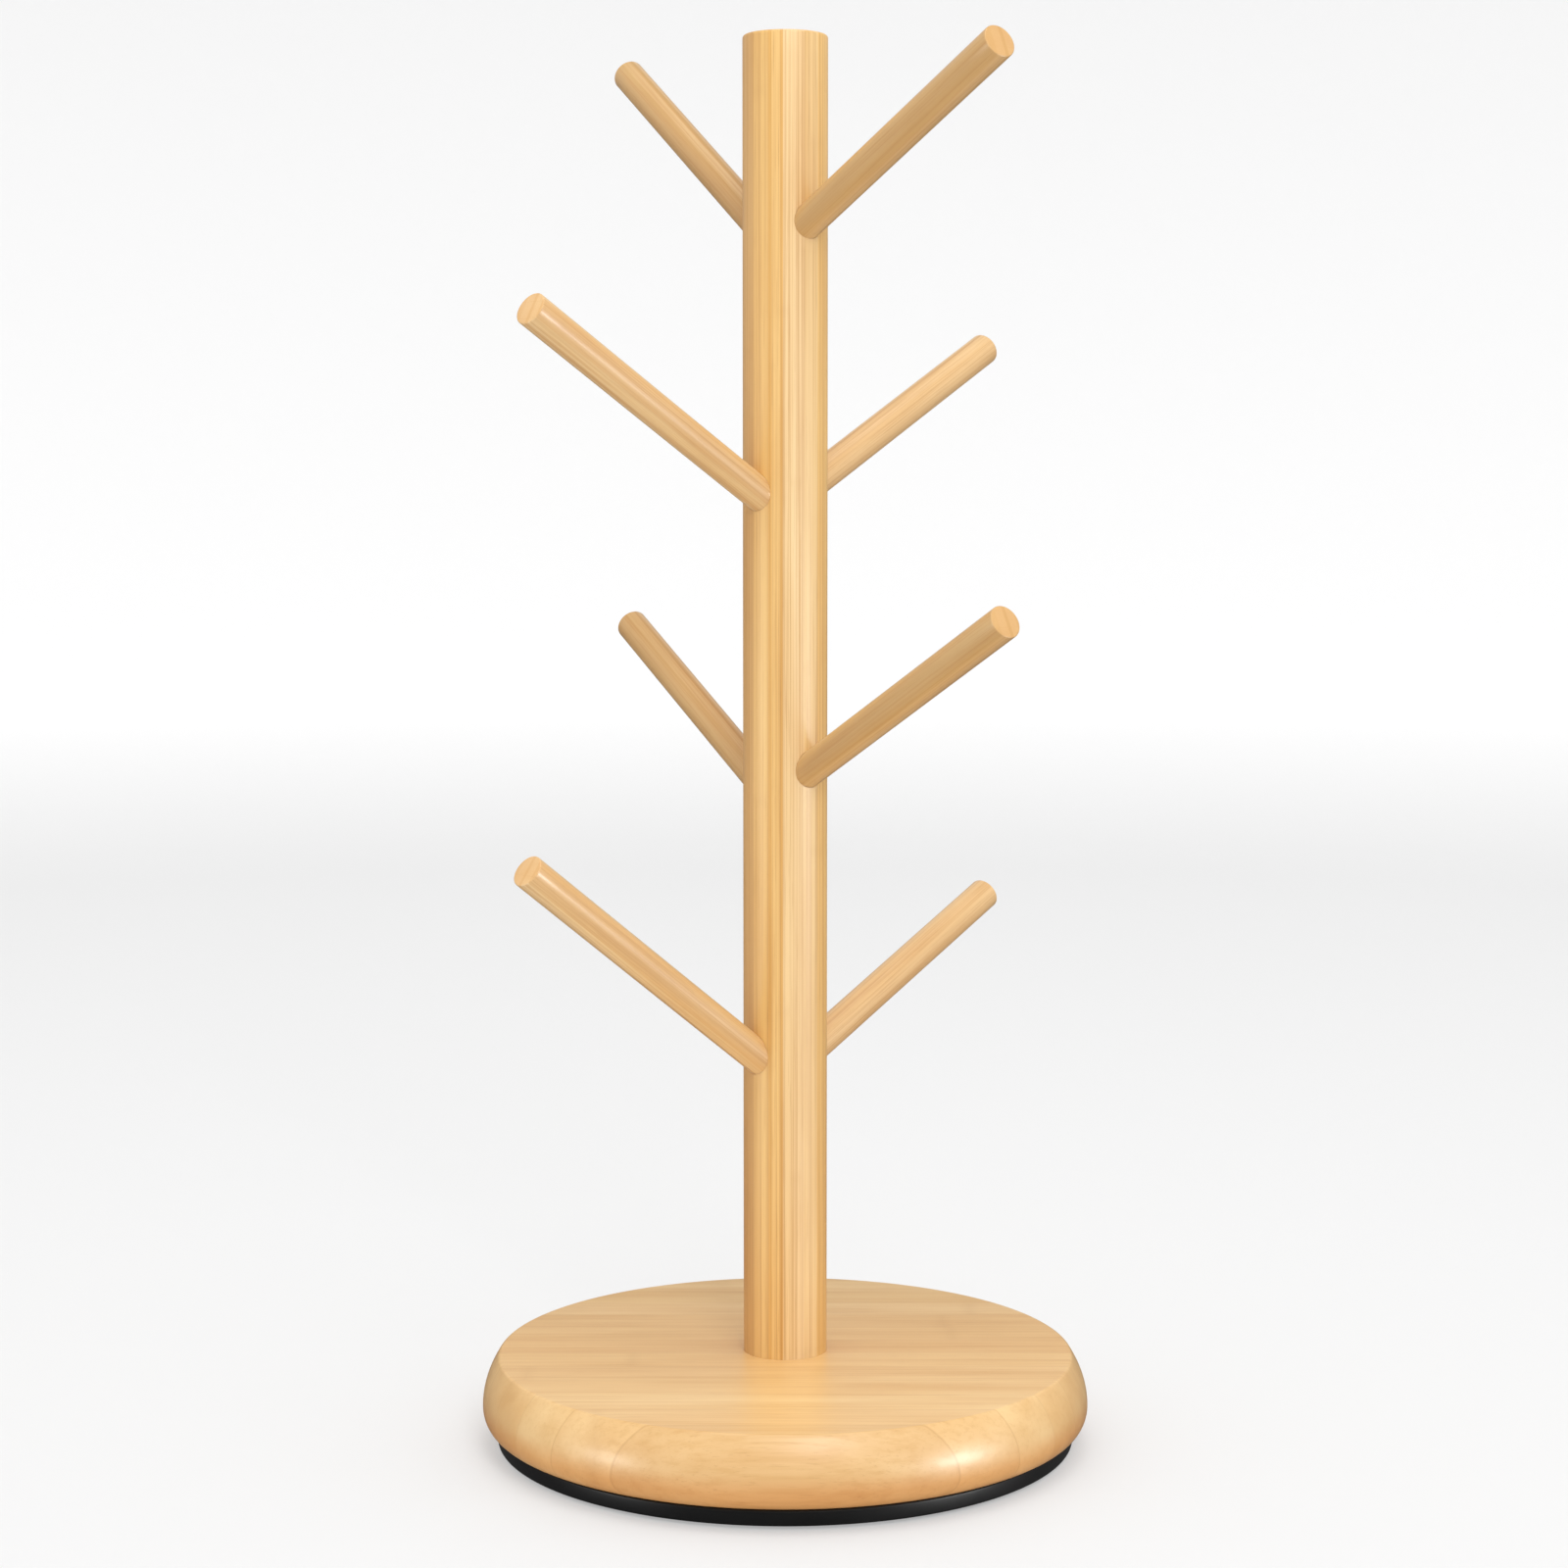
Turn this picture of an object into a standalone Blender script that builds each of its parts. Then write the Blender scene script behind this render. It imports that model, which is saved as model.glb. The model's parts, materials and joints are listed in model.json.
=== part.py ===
"""Revolving mug tree: a bamboo post with eight peg arms on a round base that turns on a ball ring.

Metres, +Z up. The origin is on the floor at the centre of the foot. The front arms point towards -Y.
"""

import math

import bmesh
import bpy
from mathutils import Matrix, Vector

MM = 0.001
GAP = 0.3 * MM  # clearance between pieces that touch on the real object

# Heights of the stack, from the floor up
FOOT_BOTTOM = 1.2 * MM
FOOT_TOP = 6.4 * MM
BASE_BOTTOM = 7.0 * MM
POCKET_TOP = 15.0 * MM
SOCKET_FLOOR = 27.0 * MM
BASE_TOP = 30.0 * MM
POST_TOP = 467.0 * MM

# Foot and its rubber pads
FOOT_RADIUS = 97.0 * MM
FOOT_BORE_RADIUS = 12.0 * MM
ACCESS_HOLE_RADIUS = 4.5 * MM
ACCESS_HOLE_ANGLE = 45.0
PAD_COUNT = 6
PAD_RADIUS = 8.0 * MM
PAD_TOP = 1.9 * MM
PAD_CIRCLE = 84.0 * MM

# Wooden base
BASE_TOP_RADIUS = 96.5 * MM
BASE_WIDEST_RADIUS = 102.0 * MM
BASE_WIDEST_HEIGHT = 13.5 * MM
BASE_BOTTOM_RADIUS = 97.5 * MM
BASE_ARRIS = 0.7 * MM
POCKET_RADIUS = 76.0 * MM

# Post, its socket, and the bolt that holds it
POST_RADIUS = 14.0 * MM
POST_ARRIS = 1.0 * MM
BOLT_RADIUS = 3.9 * MM
BOLT_HOLE_RADIUS = 4.3 * MM
BOLT_TOP = 51.0 * MM
BOLT_HEAD_RADIUS = 7.0 * MM
BOLT_HEAD_BOTTOM = 8.2 * MM
BOLT_HEAD_TOP = 12.6 * MM
HEX_RADIUS = 2.9 * MM
HEX_DEPTH = 2.4 * MM
WASHER_RADIUS = 12.0 * MM
WASHER_TOP = POCKET_TOP - GAP
INSERT_RADIUS = 7.0 * MM
INSERT_TOP = 46.0 * MM

# Arms: round pegs glued into slanting blind holes in the post
ARM_RADIUS = 5.5 * MM
ARM_ARRIS = 0.7 * MM
ARM_INNER_END = 6.0 * MM  # from the post's axis to the peg's hidden end, along the peg

# name: (height of its axis where it crosses the post's axis, bearing from +X, rise above level, reach)
ARMS = {
    "arm_1_front": (400.0 * MM, -54.5, 25.0, 121.0 * MM),
    "arm_1_rear": (396.5 * MM, 122.0, 34.0, 127.0 * MM),
    "arm_2_front": (311.0 * MM, -133.5, 29.0, 128.0 * MM),
    "arm_2_rear": (315.0 * MM, 50.5, 26.5, 125.0 * MM),
    "arm_3_front": (220.5 * MM, -52.5, 28.0, 124.0 * MM),
    "arm_3_rear": (213.5 * MM, 121.0, 28.5, 123.0 * MM),
    "arm_4_front": (122.5 * MM, -137.5, 36.0, 134.0 * MM),
    "arm_4_rear": (125.0 * MM, 49.0, 24.5, 121.0 * MM),
}

# Ball ring: an outer race on the foot, an inner race under the wood, balls in a cage between them
BALL_COUNT = 16
BALL_RADIUS = 2.5 * MM
BALL_CIRCLE = 62.0 * MM
BALL_HEIGHT = 10.7 * MM
GROOVE_RADIUS = BALL_RADIUS + GAP
RACE_SPLIT = 1.0 * MM  # half the gap between the two races' facing walls
FLANGE = 2.0 * MM
OUTER_RACE = {"bottom": FOOT_TOP + GAP, "top": 13.9 * MM, "wall": 66.5 * MM, "rim": 74.0 * MM}
INNER_RACE = {"bottom": 7.5 * MM, "top": POCKET_TOP - GAP, "wall": 57.4 * MM, "rim": 50.0 * MM}
CAGE_BOTTOM = 7.4 * MM
CAGE_TOP = 14.0 * MM
CAGE_HALF_THICKNESS = 0.5 * MM

# Pan-head screws that hold the races
SCREW_COUNT = 4
SCREW_HEAD_RADIUS = 3.0 * MM
SCREW_HEAD_HEIGHT = 1.8 * MM
SCREW_RADIUS = 1.45 * MM
SCREW_HOLE_RADIUS = 1.8 * MM
OUTER_SCREW_CIRCLE = 70.0 * MM
OUTER_SCREW_TIP = 2.6 * MM
INNER_SCREW_CIRCLE = 54.0 * MM
INNER_SCREW_TIP = 22.0 * MM

ROUND = 64  # sides of the largest turned pieces

FINISHES = {  # colour, metallic, roughness
    "bamboo": ((0.78, 0.53, 0.24), 0.0, 0.42),
    "black_plastic": ((0.012, 0.012, 0.014), 0.0, 0.35),
    "black_rubber": ((0.02, 0.02, 0.02), 0.0, 0.85),
    "zinc_steel": ((0.62, 0.63, 0.65), 1.0, 0.35),
    "ball_steel": ((0.72, 0.72, 0.74), 1.0, 0.12),
    "white_nylon": ((0.75, 0.74, 0.70), 0.0, 0.5),
    "brass": ((0.72, 0.50, 0.20), 1.0, 0.3),
}


def clear_scene():
    for thing in list(bpy.data.objects):
        bpy.data.objects.remove(thing, do_unlink=True)


def finish(name):
    """The material called name, made the first time it is asked for."""
    if name in bpy.data.materials:
        return bpy.data.materials[name]
    colour, metallic, roughness = FINISHES[name]
    material = bpy.data.materials.new(name)
    material.use_nodes = True
    shader = material.node_tree.nodes["Principled BSDF"]
    shader.inputs["Base Color"].default_value = (*colour, 1.0)
    shader.inputs["Metallic"].default_value = metallic
    shader.inputs["Roughness"].default_value = roughness
    return material


def add_object(name, bm, finish_name, parent=None):
    bmesh.ops.recalc_face_normals(bm, faces=bm.faces)
    mesh = bpy.data.meshes.new(name)
    bm.to_mesh(mesh)
    bm.free()
    mesh.shade_smooth()
    mesh.set_sharp_from_angle(angle=math.radians(35))
    piece = bpy.data.objects.new(name, mesh)
    bpy.context.scene.collection.objects.link(piece)
    mesh.materials.append(finish(finish_name))
    piece.parent = parent
    return piece


def add_axis(name, height):
    """An empty on the turning axis, which carries the pieces that turn together."""
    axis = bpy.data.objects.new(name, None)
    axis.location = (0, 0, height)
    axis.empty_display_size = 0.02
    bpy.context.scene.collection.objects.link(axis)
    return axis


def turned(profile, sides=ROUND):
    """A solid of revolution about Z from a closed outline of (radius, height) points."""
    bm = bmesh.new()
    corners = [bm.verts.new((radius, 0, height)) for radius, height in profile]
    edges = [bm.edges.new(pair) for pair in zip(corners, corners[1:] + corners[:1])]
    on_axis = [e for e in edges if max(v.co.x for v in e.verts) == 0]
    bmesh.ops.delete(bm, geom=on_axis, context="EDGES")
    bmesh.ops.spin(bm, geom=bm.verts[:] + bm.edges[:], axis=(0, 0, 1), cent=(0, 0, 0),
                   angle=math.tau, steps=sides, use_merge=True)
    bmesh.ops.remove_doubles(bm, verts=bm.verts, dist=0.01 * MM)
    return bm


def moved(bm, x, y, z=0.0):
    bmesh.ops.translate(bm, verts=bm.verts, vec=(x, y, z))
    return bm


def around(count, radius, first_angle=0.0):
    """Points evenly spaced on a circle, as (number from 1, x, y)."""
    for i in range(count):
        angle = math.radians(first_angle) + math.tau * i / count
        yield i + 1, radius * math.cos(angle), radius * math.sin(angle)


def disc(radius, bottom, top, arris=0.0, sides=ROUND):
    """A plain turned disc with an optional chamfer on both rims."""
    profile = [(0, bottom), (radius - arris, bottom)]
    if arris:
        profile += [(radius, bottom + arris), (radius, top - arris)]
        profile += [(radius - arris, top), (0, top)]
    else:
        profile += [(radius, top), (0, top)]
    return turned(profile, sides)


def drill(target, name, cutters):
    """Cuts every closed shape in cutters out of target, with one Boolean."""
    joined = bmesh.new()
    for cutter in cutters:
        scratch = bpy.data.meshes.new("scratch")
        bmesh.ops.recalc_face_normals(cutter, faces=cutter.faces)
        cutter.to_mesh(scratch)
        cutter.free()
        joined.from_mesh(scratch)
        bpy.data.meshes.remove(scratch)
    mesh = bpy.data.meshes.new(name)
    joined.to_mesh(mesh)
    joined.free()
    tool = bpy.data.objects.new(name, mesh)
    tool.hide_render = True
    tool.display_type = "WIRE"
    bpy.context.scene.collection.objects.link(tool)
    cut = target.modifiers.new(name, "BOOLEAN")
    cut.operation = "DIFFERENCE"
    cut.object = tool


def hole(x, y, radius, bottom, top, sides=12):
    return moved(disc(radius, bottom, top, sides=sides), x, y)


def make_foot():
    foot = add_object("foot_disc", turned([
        (FOOT_BORE_RADIUS, FOOT_BOTTOM), (FOOT_RADIUS - 0.6 * MM, FOOT_BOTTOM),
        (FOOT_RADIUS, FOOT_BOTTOM + 0.6 * MM), (FOOT_RADIUS, FOOT_TOP - 0.8 * MM),
        (FOOT_RADIUS - 0.8 * MM, FOOT_TOP), (FOOT_BORE_RADIUS, FOOT_TOP),
    ]), "black_plastic")
    below, above = FOOT_BOTTOM - MM, FOOT_TOP + MM
    cutters = [hole(x, y, PAD_RADIUS + GAP, below, PAD_TOP + GAP, 20)
               for _, x, y in around(PAD_COUNT, PAD_CIRCLE)]
    cutters += [hole(x, y, SCREW_HOLE_RADIUS, OUTER_SCREW_TIP - GAP, above)
                for _, x, y in around(SCREW_COUNT, OUTER_SCREW_CIRCLE, 45)]
    cutters += [hole(x, y, ACCESS_HOLE_RADIUS, below, above, 16)
                for _, x, y in around(1, INNER_SCREW_CIRCLE, ACCESS_HOLE_ANGLE)]
    drill(foot, "foot_holes", cutters)
    for number, x, y in around(PAD_COUNT, PAD_CIRCLE):
        pad = add_object(f"rubber_pad_{number}", disc(PAD_RADIUS, 0, PAD_TOP, 0.3 * MM, 20), "black_rubber")
        pad.location = (x, y, 0)


def base_outline():
    """The wooden base's outline: bore, socket, flat top, bowed side, round lower edge, and the pocket."""
    outline = [(BOLT_HOLE_RADIUS, SOCKET_FLOOR), (POST_RADIUS + GAP, SOCKET_FLOOR)]
    outline += [(POST_RADIUS + GAP, BASE_TOP), (BASE_TOP_RADIUS - BASE_ARRIS, BASE_TOP)]
    side_top = BASE_TOP - BASE_ARRIS
    bow = BASE_WIDEST_RADIUS - BASE_TOP_RADIUS
    for step in range(6):
        share = 1 - step / 6
        height = BASE_WIDEST_HEIGHT + (side_top - BASE_WIDEST_HEIGHT) * share
        outline.append((BASE_WIDEST_RADIUS - bow * share ** 2, height))
    for step in range(6):
        angle = math.radians(90) * step / 5
        radius = BASE_BOTTOM_RADIUS + (BASE_WIDEST_RADIUS - BASE_BOTTOM_RADIUS) * math.cos(angle)
        height = BASE_WIDEST_HEIGHT - (BASE_WIDEST_HEIGHT - BASE_BOTTOM) * math.sin(angle)
        outline.append((radius, height))
    outline += [(POCKET_RADIUS, BASE_BOTTOM), (POCKET_RADIUS, POCKET_TOP), (BOLT_HOLE_RADIUS, POCKET_TOP)]
    return outline


def make_base(tree):
    base = add_object("wood_base", turned(base_outline()), "bamboo", tree)
    drill(base, "base_pilot_holes", [
        hole(x, y, SCREW_HOLE_RADIUS, POCKET_TOP - MM, INNER_SCREW_TIP + GAP)
        for _, x, y in around(SCREW_COUNT, INNER_SCREW_CIRCLE)
    ])


def peg(radius, start, end, arris, sides):
    """A round peg lying along +X, with its outer end chamfered."""
    bm = turned([(0, start), (radius, start), (radius, end - arris), (radius - arris, end), (0, end)], sides)
    bmesh.ops.rotate(bm, verts=bm.verts, cent=(0, 0, 0), matrix=Matrix.Rotation(math.radians(90), 3, "Y"))
    return bm


def arm_place(height, bearing, rise):
    """Where an arm stands: its own +X axis turned up by rise and round to its bearing."""
    turn = Matrix.Rotation(math.radians(bearing), 4, "Z") @ Matrix.Rotation(-math.radians(rise), 4, "Y")
    return Matrix.Translation(Vector((0, 0, height))) @ turn


def make_post(tree):
    bore_top = BOLT_TOP + 3 * MM
    post = add_object("post", turned([
        (0, bore_top), (BOLT_HOLE_RADIUS, bore_top), (BOLT_HOLE_RADIUS, INSERT_TOP + GAP),
        (INSERT_RADIUS + GAP, INSERT_TOP + GAP), (INSERT_RADIUS + GAP, SOCKET_FLOOR + GAP),
        (POST_RADIUS, SOCKET_FLOOR + GAP), (POST_RADIUS, POST_TOP - POST_ARRIS),
        (POST_RADIUS - POST_ARRIS, POST_TOP), (0, POST_TOP),
    ], 48), "bamboo", tree)
    cutters = []
    for height, bearing, rise, _ in ARMS.values():
        cutter = peg(ARM_RADIUS + GAP, ARM_INNER_END - GAP, 2 * POST_RADIUS, 0.0001 * MM, 20)
        bmesh.ops.transform(cutter, matrix=arm_place(height, bearing, rise), verts=cutter.verts)
        cutters.append(cutter)
    drill(post, "arm_holes", cutters)


def make_arms(tree):
    for name, (height, bearing, rise, reach) in ARMS.items():
        arm = add_object(name, peg(ARM_RADIUS, ARM_INNER_END, reach, ARM_ARRIS, 20), "bamboo", tree)
        arm.matrix_local = tree.matrix_world.inverted() @ arm_place(height, bearing, rise)


def make_post_fixing(tree):
    bolt = add_object("post_bolt", turned([
        (0, BOLT_HEAD_BOTTOM), (BOLT_HEAD_RADIUS - 2 * MM, BOLT_HEAD_BOTTOM),
        (BOLT_HEAD_RADIUS - 0.5 * MM, BOLT_HEAD_BOTTOM + 1.6 * MM), (BOLT_HEAD_RADIUS, BOLT_HEAD_TOP),
        (BOLT_RADIUS, BOLT_HEAD_TOP), (BOLT_RADIUS, BOLT_TOP - 0.8 * MM),
        (BOLT_RADIUS - 0.8 * MM, BOLT_TOP), (0, BOLT_TOP),
    ], 20), "zinc_steel", tree)
    drill(bolt, "hex_socket", [
        hole(0, 0, HEX_RADIUS, BOLT_HEAD_BOTTOM - MM, BOLT_HEAD_BOTTOM + HEX_DEPTH, 6)
    ])
    add_object("bolt_washer", turned([
        (BOLT_HOLE_RADIUS, BOLT_HEAD_TOP + GAP), (WASHER_RADIUS, BOLT_HEAD_TOP + GAP),
        (WASHER_RADIUS, WASHER_TOP), (BOLT_HOLE_RADIUS, WASHER_TOP),
    ], 24), "zinc_steel", tree)
    insert_bottom = SOCKET_FLOOR + 2 * GAP
    add_object("threaded_insert", turned([
        (BOLT_RADIUS + GAP, insert_bottom), (INSERT_RADIUS, insert_bottom),
        (INSERT_RADIUS, INSERT_TOP), (BOLT_RADIUS + GAP, INSERT_TOP),
    ], 24), "brass", tree)


def groove(side):
    """A ball groove in a race's facing wall, bottom to top. side is +1 for the outer race, -1 for the inner."""
    edge = math.acos(RACE_SPLIT / GROOVE_RADIUS)
    points = []
    for step in range(5):
        angle = -edge + 2 * edge * step / 4
        radius = BALL_CIRCLE + side * GROOVE_RADIUS * math.cos(angle)
        points.append((radius, BALL_HEIGHT + GROOVE_RADIUS * math.sin(angle)))
    return points


def make_outer_race():
    race = OUTER_RACE
    facing = BALL_CIRCLE + RACE_SPLIT
    outline = [(facing, race["bottom"])] + groove(1) + [(facing, race["top"]), (race["wall"], race["top"])]
    outline += [(race["wall"], race["bottom"] + FLANGE), (race["rim"], race["bottom"] + FLANGE)]
    outline += [(race["rim"], race["bottom"])]
    ring = add_object("outer_race", turned(outline, 48), "zinc_steel")
    drill(ring, "outer_race_holes", [
        hole(x, y, SCREW_HOLE_RADIUS, race["bottom"] - MM, race["bottom"] + FLANGE + MM)
        for _, x, y in around(SCREW_COUNT, OUTER_SCREW_CIRCLE, 45)
    ])


def make_inner_race(tree):
    race = INNER_RACE
    facing = BALL_CIRCLE - RACE_SPLIT
    outline = [(facing, race["bottom"])] + groove(-1) + [(facing, race["top"]), (race["rim"], race["top"])]
    outline += [(race["rim"], race["top"] - FLANGE), (race["wall"], race["top"] - FLANGE)]
    outline += [(race["wall"], race["bottom"])]
    ring = add_object("inner_race", turned(outline, 48), "zinc_steel", tree)
    drill(ring, "inner_race_holes", [
        hole(x, y, SCREW_HOLE_RADIUS, race["top"] - FLANGE - MM, race["top"] + MM)
        for _, x, y in around(SCREW_COUNT, INNER_SCREW_CIRCLE)
    ])


def make_cage_and_balls(carrier):
    inside, outside = BALL_CIRCLE - CAGE_HALF_THICKNESS, BALL_CIRCLE + CAGE_HALF_THICKNESS
    cage = add_object("ball_cage", turned([
        (inside, CAGE_BOTTOM), (outside, CAGE_BOTTOM), (outside, CAGE_TOP), (inside, CAGE_TOP),
    ]), "white_nylon", carrier)
    pockets = []
    for _, x, y in around(BALL_COUNT, BALL_CIRCLE):
        pocket = peg(BALL_RADIUS + GAP, -3 * MM, 3 * MM, 0.0001 * MM, 12)
        turn = Matrix.Rotation(math.atan2(y, x), 4, "Z")
        place = Matrix.Translation(Vector((x, y, BALL_HEIGHT))) @ turn
        bmesh.ops.transform(pocket, matrix=place, verts=pocket.verts)
        pockets.append(pocket)
    drill(cage, "ball_pockets", pockets)
    for number, x, y in around(BALL_COUNT, BALL_CIRCLE):
        bm = bmesh.new()
        bmesh.ops.create_icosphere(bm, subdivisions=2, radius=BALL_RADIUS)
        ball = add_object(f"ball_{number:02d}", bm, "ball_steel", carrier)
        ball.location = (x, y, BALL_HEIGHT)


def pan_head_screw(under_head, tip):
    """A pan-head screw about Z. Its head lies on the far side of under_head from its tip."""
    away = 1 if under_head > tip else -1
    top = under_head + away * SCREW_HEAD_HEIGHT
    return turned([
        (0, tip), (SCREW_RADIUS, tip + away * 2 * SCREW_RADIUS), (SCREW_RADIUS, under_head),
        (SCREW_HEAD_RADIUS, under_head), (SCREW_HEAD_RADIUS, top - away * 0.9 * MM),
        (SCREW_HEAD_RADIUS * 0.7, top), (0, top),
    ], 12)


def make_race_screws(tree):
    down = OUTER_RACE["bottom"] + FLANGE + GAP
    for number, x, y in around(SCREW_COUNT, OUTER_SCREW_CIRCLE, 45):
        screw = add_object(f"outer_race_screw_{number}", pan_head_screw(down, OUTER_SCREW_TIP), "zinc_steel")
        screw.location = (x, y, 0)
    up = INNER_RACE["top"] - FLANGE - GAP
    for number, x, y in around(SCREW_COUNT, INNER_SCREW_CIRCLE):
        bm = moved(pan_head_screw(up, INNER_SCREW_TIP), x, y)
        add_object(f"inner_race_screw_{number}", bm, "zinc_steel", tree)


def main():
    clear_scene()
    tree = add_axis("tree_axis", 0)
    carrier = add_axis("cage_axis", 0)
    make_foot()
    make_outer_race()
    make_inner_race(tree)
    make_cage_and_balls(carrier)
    make_race_screws(tree)
    make_base(tree)
    make_post_fixing(tree)
    make_post(tree)
    make_arms(tree)


main()
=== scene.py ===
import json
import math
import random
import bmesh
import bpy
import numpy
from mathutils import Matrix, Vector


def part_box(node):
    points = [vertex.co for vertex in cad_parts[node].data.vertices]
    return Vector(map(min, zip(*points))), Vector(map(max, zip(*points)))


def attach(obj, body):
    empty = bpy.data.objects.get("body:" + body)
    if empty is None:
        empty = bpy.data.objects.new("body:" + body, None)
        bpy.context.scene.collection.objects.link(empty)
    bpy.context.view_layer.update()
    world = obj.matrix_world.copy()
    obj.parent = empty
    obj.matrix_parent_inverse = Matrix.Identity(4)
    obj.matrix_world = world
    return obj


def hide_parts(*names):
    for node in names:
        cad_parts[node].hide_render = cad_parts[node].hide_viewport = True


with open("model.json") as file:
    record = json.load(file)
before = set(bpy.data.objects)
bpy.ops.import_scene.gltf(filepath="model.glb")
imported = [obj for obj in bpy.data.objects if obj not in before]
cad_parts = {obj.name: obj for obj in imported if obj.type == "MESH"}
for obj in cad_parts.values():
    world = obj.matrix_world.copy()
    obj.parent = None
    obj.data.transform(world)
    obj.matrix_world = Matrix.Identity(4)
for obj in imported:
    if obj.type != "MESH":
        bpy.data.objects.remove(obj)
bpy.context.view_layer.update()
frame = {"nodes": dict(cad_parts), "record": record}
print("frame loaded")

mm = 0.001
random.seed(41)
crispAngle = math.radians(32)  # faces that meet more sharply than this keep a crisp edge
weldWithin, ringWithin = 0.003 * mm, 0.004 * mm  # how near points lie to be one, and to lie on a ring
roundSegments = 4  # flats in a softened edge
overrun = 1.0  # mm that a cutter stands out past the surface it opens
screwNumbers, padNumbers, ballNumbers = range(1, 5), range(1, 7), range(1, 17)
bodies = frame["record"]["behaviour"]["bodies"]
bodyOf = {node: body for body, nodes in bodies.items() for node in nodes}


def hexColour(code):  # sRGB hex to the linear values that a shader reads
    channels = [int(code[i:i + 2], 16) / 255 for i in (1, 3, 5)]
    return tuple(c / 12.92 if c <= 0.04045 else ((c + 0.055) / 1.055) ** 2.4 for c in channels) + (1.0,)


def addNode(tree, kind, inputs=None, **settings):
    node = tree.nodes.new(kind)
    for key, value in settings.items():
        setattr(node, key, value)
    for key, value in (inputs or {}).items():
        if isinstance(value, bpy.types.NodeSocket):
            tree.links.new(value, node.inputs[key])
        else:
            node.inputs[key].default_value = value
    return node


def setStops(node, stops):  # gives a colour ramp its stops, as (position, linear colour)
    elements = node.color_ramp.elements
    while len(elements) < len(stops):
        elements.new(0.5)
    for element, (position, colour) in zip(elements, stops):
        element.position = position
        element.color = colour
    return node.outputs["Color"]


def newMaterial(name, **sockets):
    material = bpy.data.materials.new(name)
    material.use_nodes = True
    tree = material.node_tree
    shader = tree.nodes["Principled BSDF"]
    for key, value in sockets.items():
        shader.inputs[key.replace("_", " ")].default_value = value
    return material, tree, shader


def spun(points, sides, closed, mergeWithin):  # a line of (radius, height) in metres, spun about Z
    shape = bmesh.new()
    corners = [shape.verts.new((radius, 0, height)) for radius, height in points]
    for start, end in zip(corners, corners[1:] + corners[:1] if closed else corners[1:]):
        if start.co.x > 0 or end.co.x > 0:  # nothing runs along the axis itself
            shape.edges.new((start, end))
    bmesh.ops.spin(shape, geom=shape.verts[:] + shape.edges[:], axis=(0, 0, 1), cent=(0, 0, 0),
                   angle=math.tau, steps=sides, use_merge=True)
    bmesh.ops.remove_doubles(shape, verts=shape.verts, dist=mergeWithin)
    bmesh.ops.recalc_face_normals(shape, faces=shape.faces)
    return shape


def turned(points, sides, rounds=()):
    # a solid turned about Z from its closed outline of (radius, height) in mm, with an edge softened
    # for each (radius, height, width) in rounds
    shape = spun([(radius * mm, height * mm) for radius, height in points], sides, True, weldWithin)
    for radius, height, width in rounds:
        ring = {v for v in shape.verts if abs(v.co.xy.length - radius * mm) < ringWithin
                and abs(v.co.z - height * mm) < ringWithin}
        edges = [e for e in shape.edges if e.verts[0] in ring and e.verts[1] in ring]
        bmesh.ops.bevel(shape, geom=edges, offset=width * mm, offset_type="OFFSET",
                        segments=roundSegments, profile=0.5, affect="EDGES", material=-1)
    return shape


def addCylinder(shape, radius, length, sides, place):  # a cylinder along place's Z, centred there (mm)
    bmesh.ops.create_cone(shape, cap_ends=True, segments=sides, radius1=radius * mm,
                          radius2=radius * mm, depth=length * mm, matrix=place)


def addUpright(shape, radius, bottom, top, sides, x=0.0, y=0.0):  # x and y in metres, the rest in mm
    addCylinder(shape, radius, top - bottom, sides, Matrix.Translation((x, y, (bottom + top) / 2 * mm)))


def addScrewHoles(shape, race, radius, bottom, top, sides):
    for number in screwNumbers:
        screw = middle(f"{race}_race_screw_{number}")
        addUpright(shape, radius, bottom, top, sides, screw.x, screw.y)


def addObject(name, shape):
    mesh = bpy.data.meshes.new(name)
    shape.to_mesh(mesh)
    shape.free()
    piece = bpy.data.objects.new(name, mesh)
    bpy.context.scene.collection.objects.link(piece)
    return piece


def cutAway(piece, cutters):
    tool = addObject("cutter", cutters)
    cut = piece.modifiers.new("cut", "BOOLEAN")
    cut.operation = "DIFFERENCE"
    cut.solver = "EXACT"
    cut.object = tool
    whole = piece.data
    finished = piece.evaluated_get(bpy.context.evaluated_depsgraph_get())
    piece.data = bpy.data.meshes.new_from_object(finished)
    piece.modifiers.clear()
    piece.data.name = piece.name
    bpy.data.meshes.remove(whole)
    bpy.data.objects.remove(tool)


def dress(piece, material, node):  # gives a piece its finish and puts it in place of its CAD node
    piece.data.shade_smooth()
    piece.data.set_sharp_from_angle(angle=crispAngle)
    piece.data.materials.clear()
    piece.data.materials.append(material)
    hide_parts(node)
    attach(piece, bodyOf[node])


def standing(node):  # outer radius, bottom and top of a node that is centred on the post's axis, in mm
    low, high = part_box(node)
    return high.x / mm, low.z / mm, high.z / mm


def middle(node):
    low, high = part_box(node)
    return (low + high) / 2


def axisFrame(origin, along, up):  # X runs along the grain and Z towards up
    x = along.normalized()
    y = up.cross(x).normalized()
    return Matrix.Translation(origin) @ Matrix((x, y, x.cross(y))).transposed().to_4x4()


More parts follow.
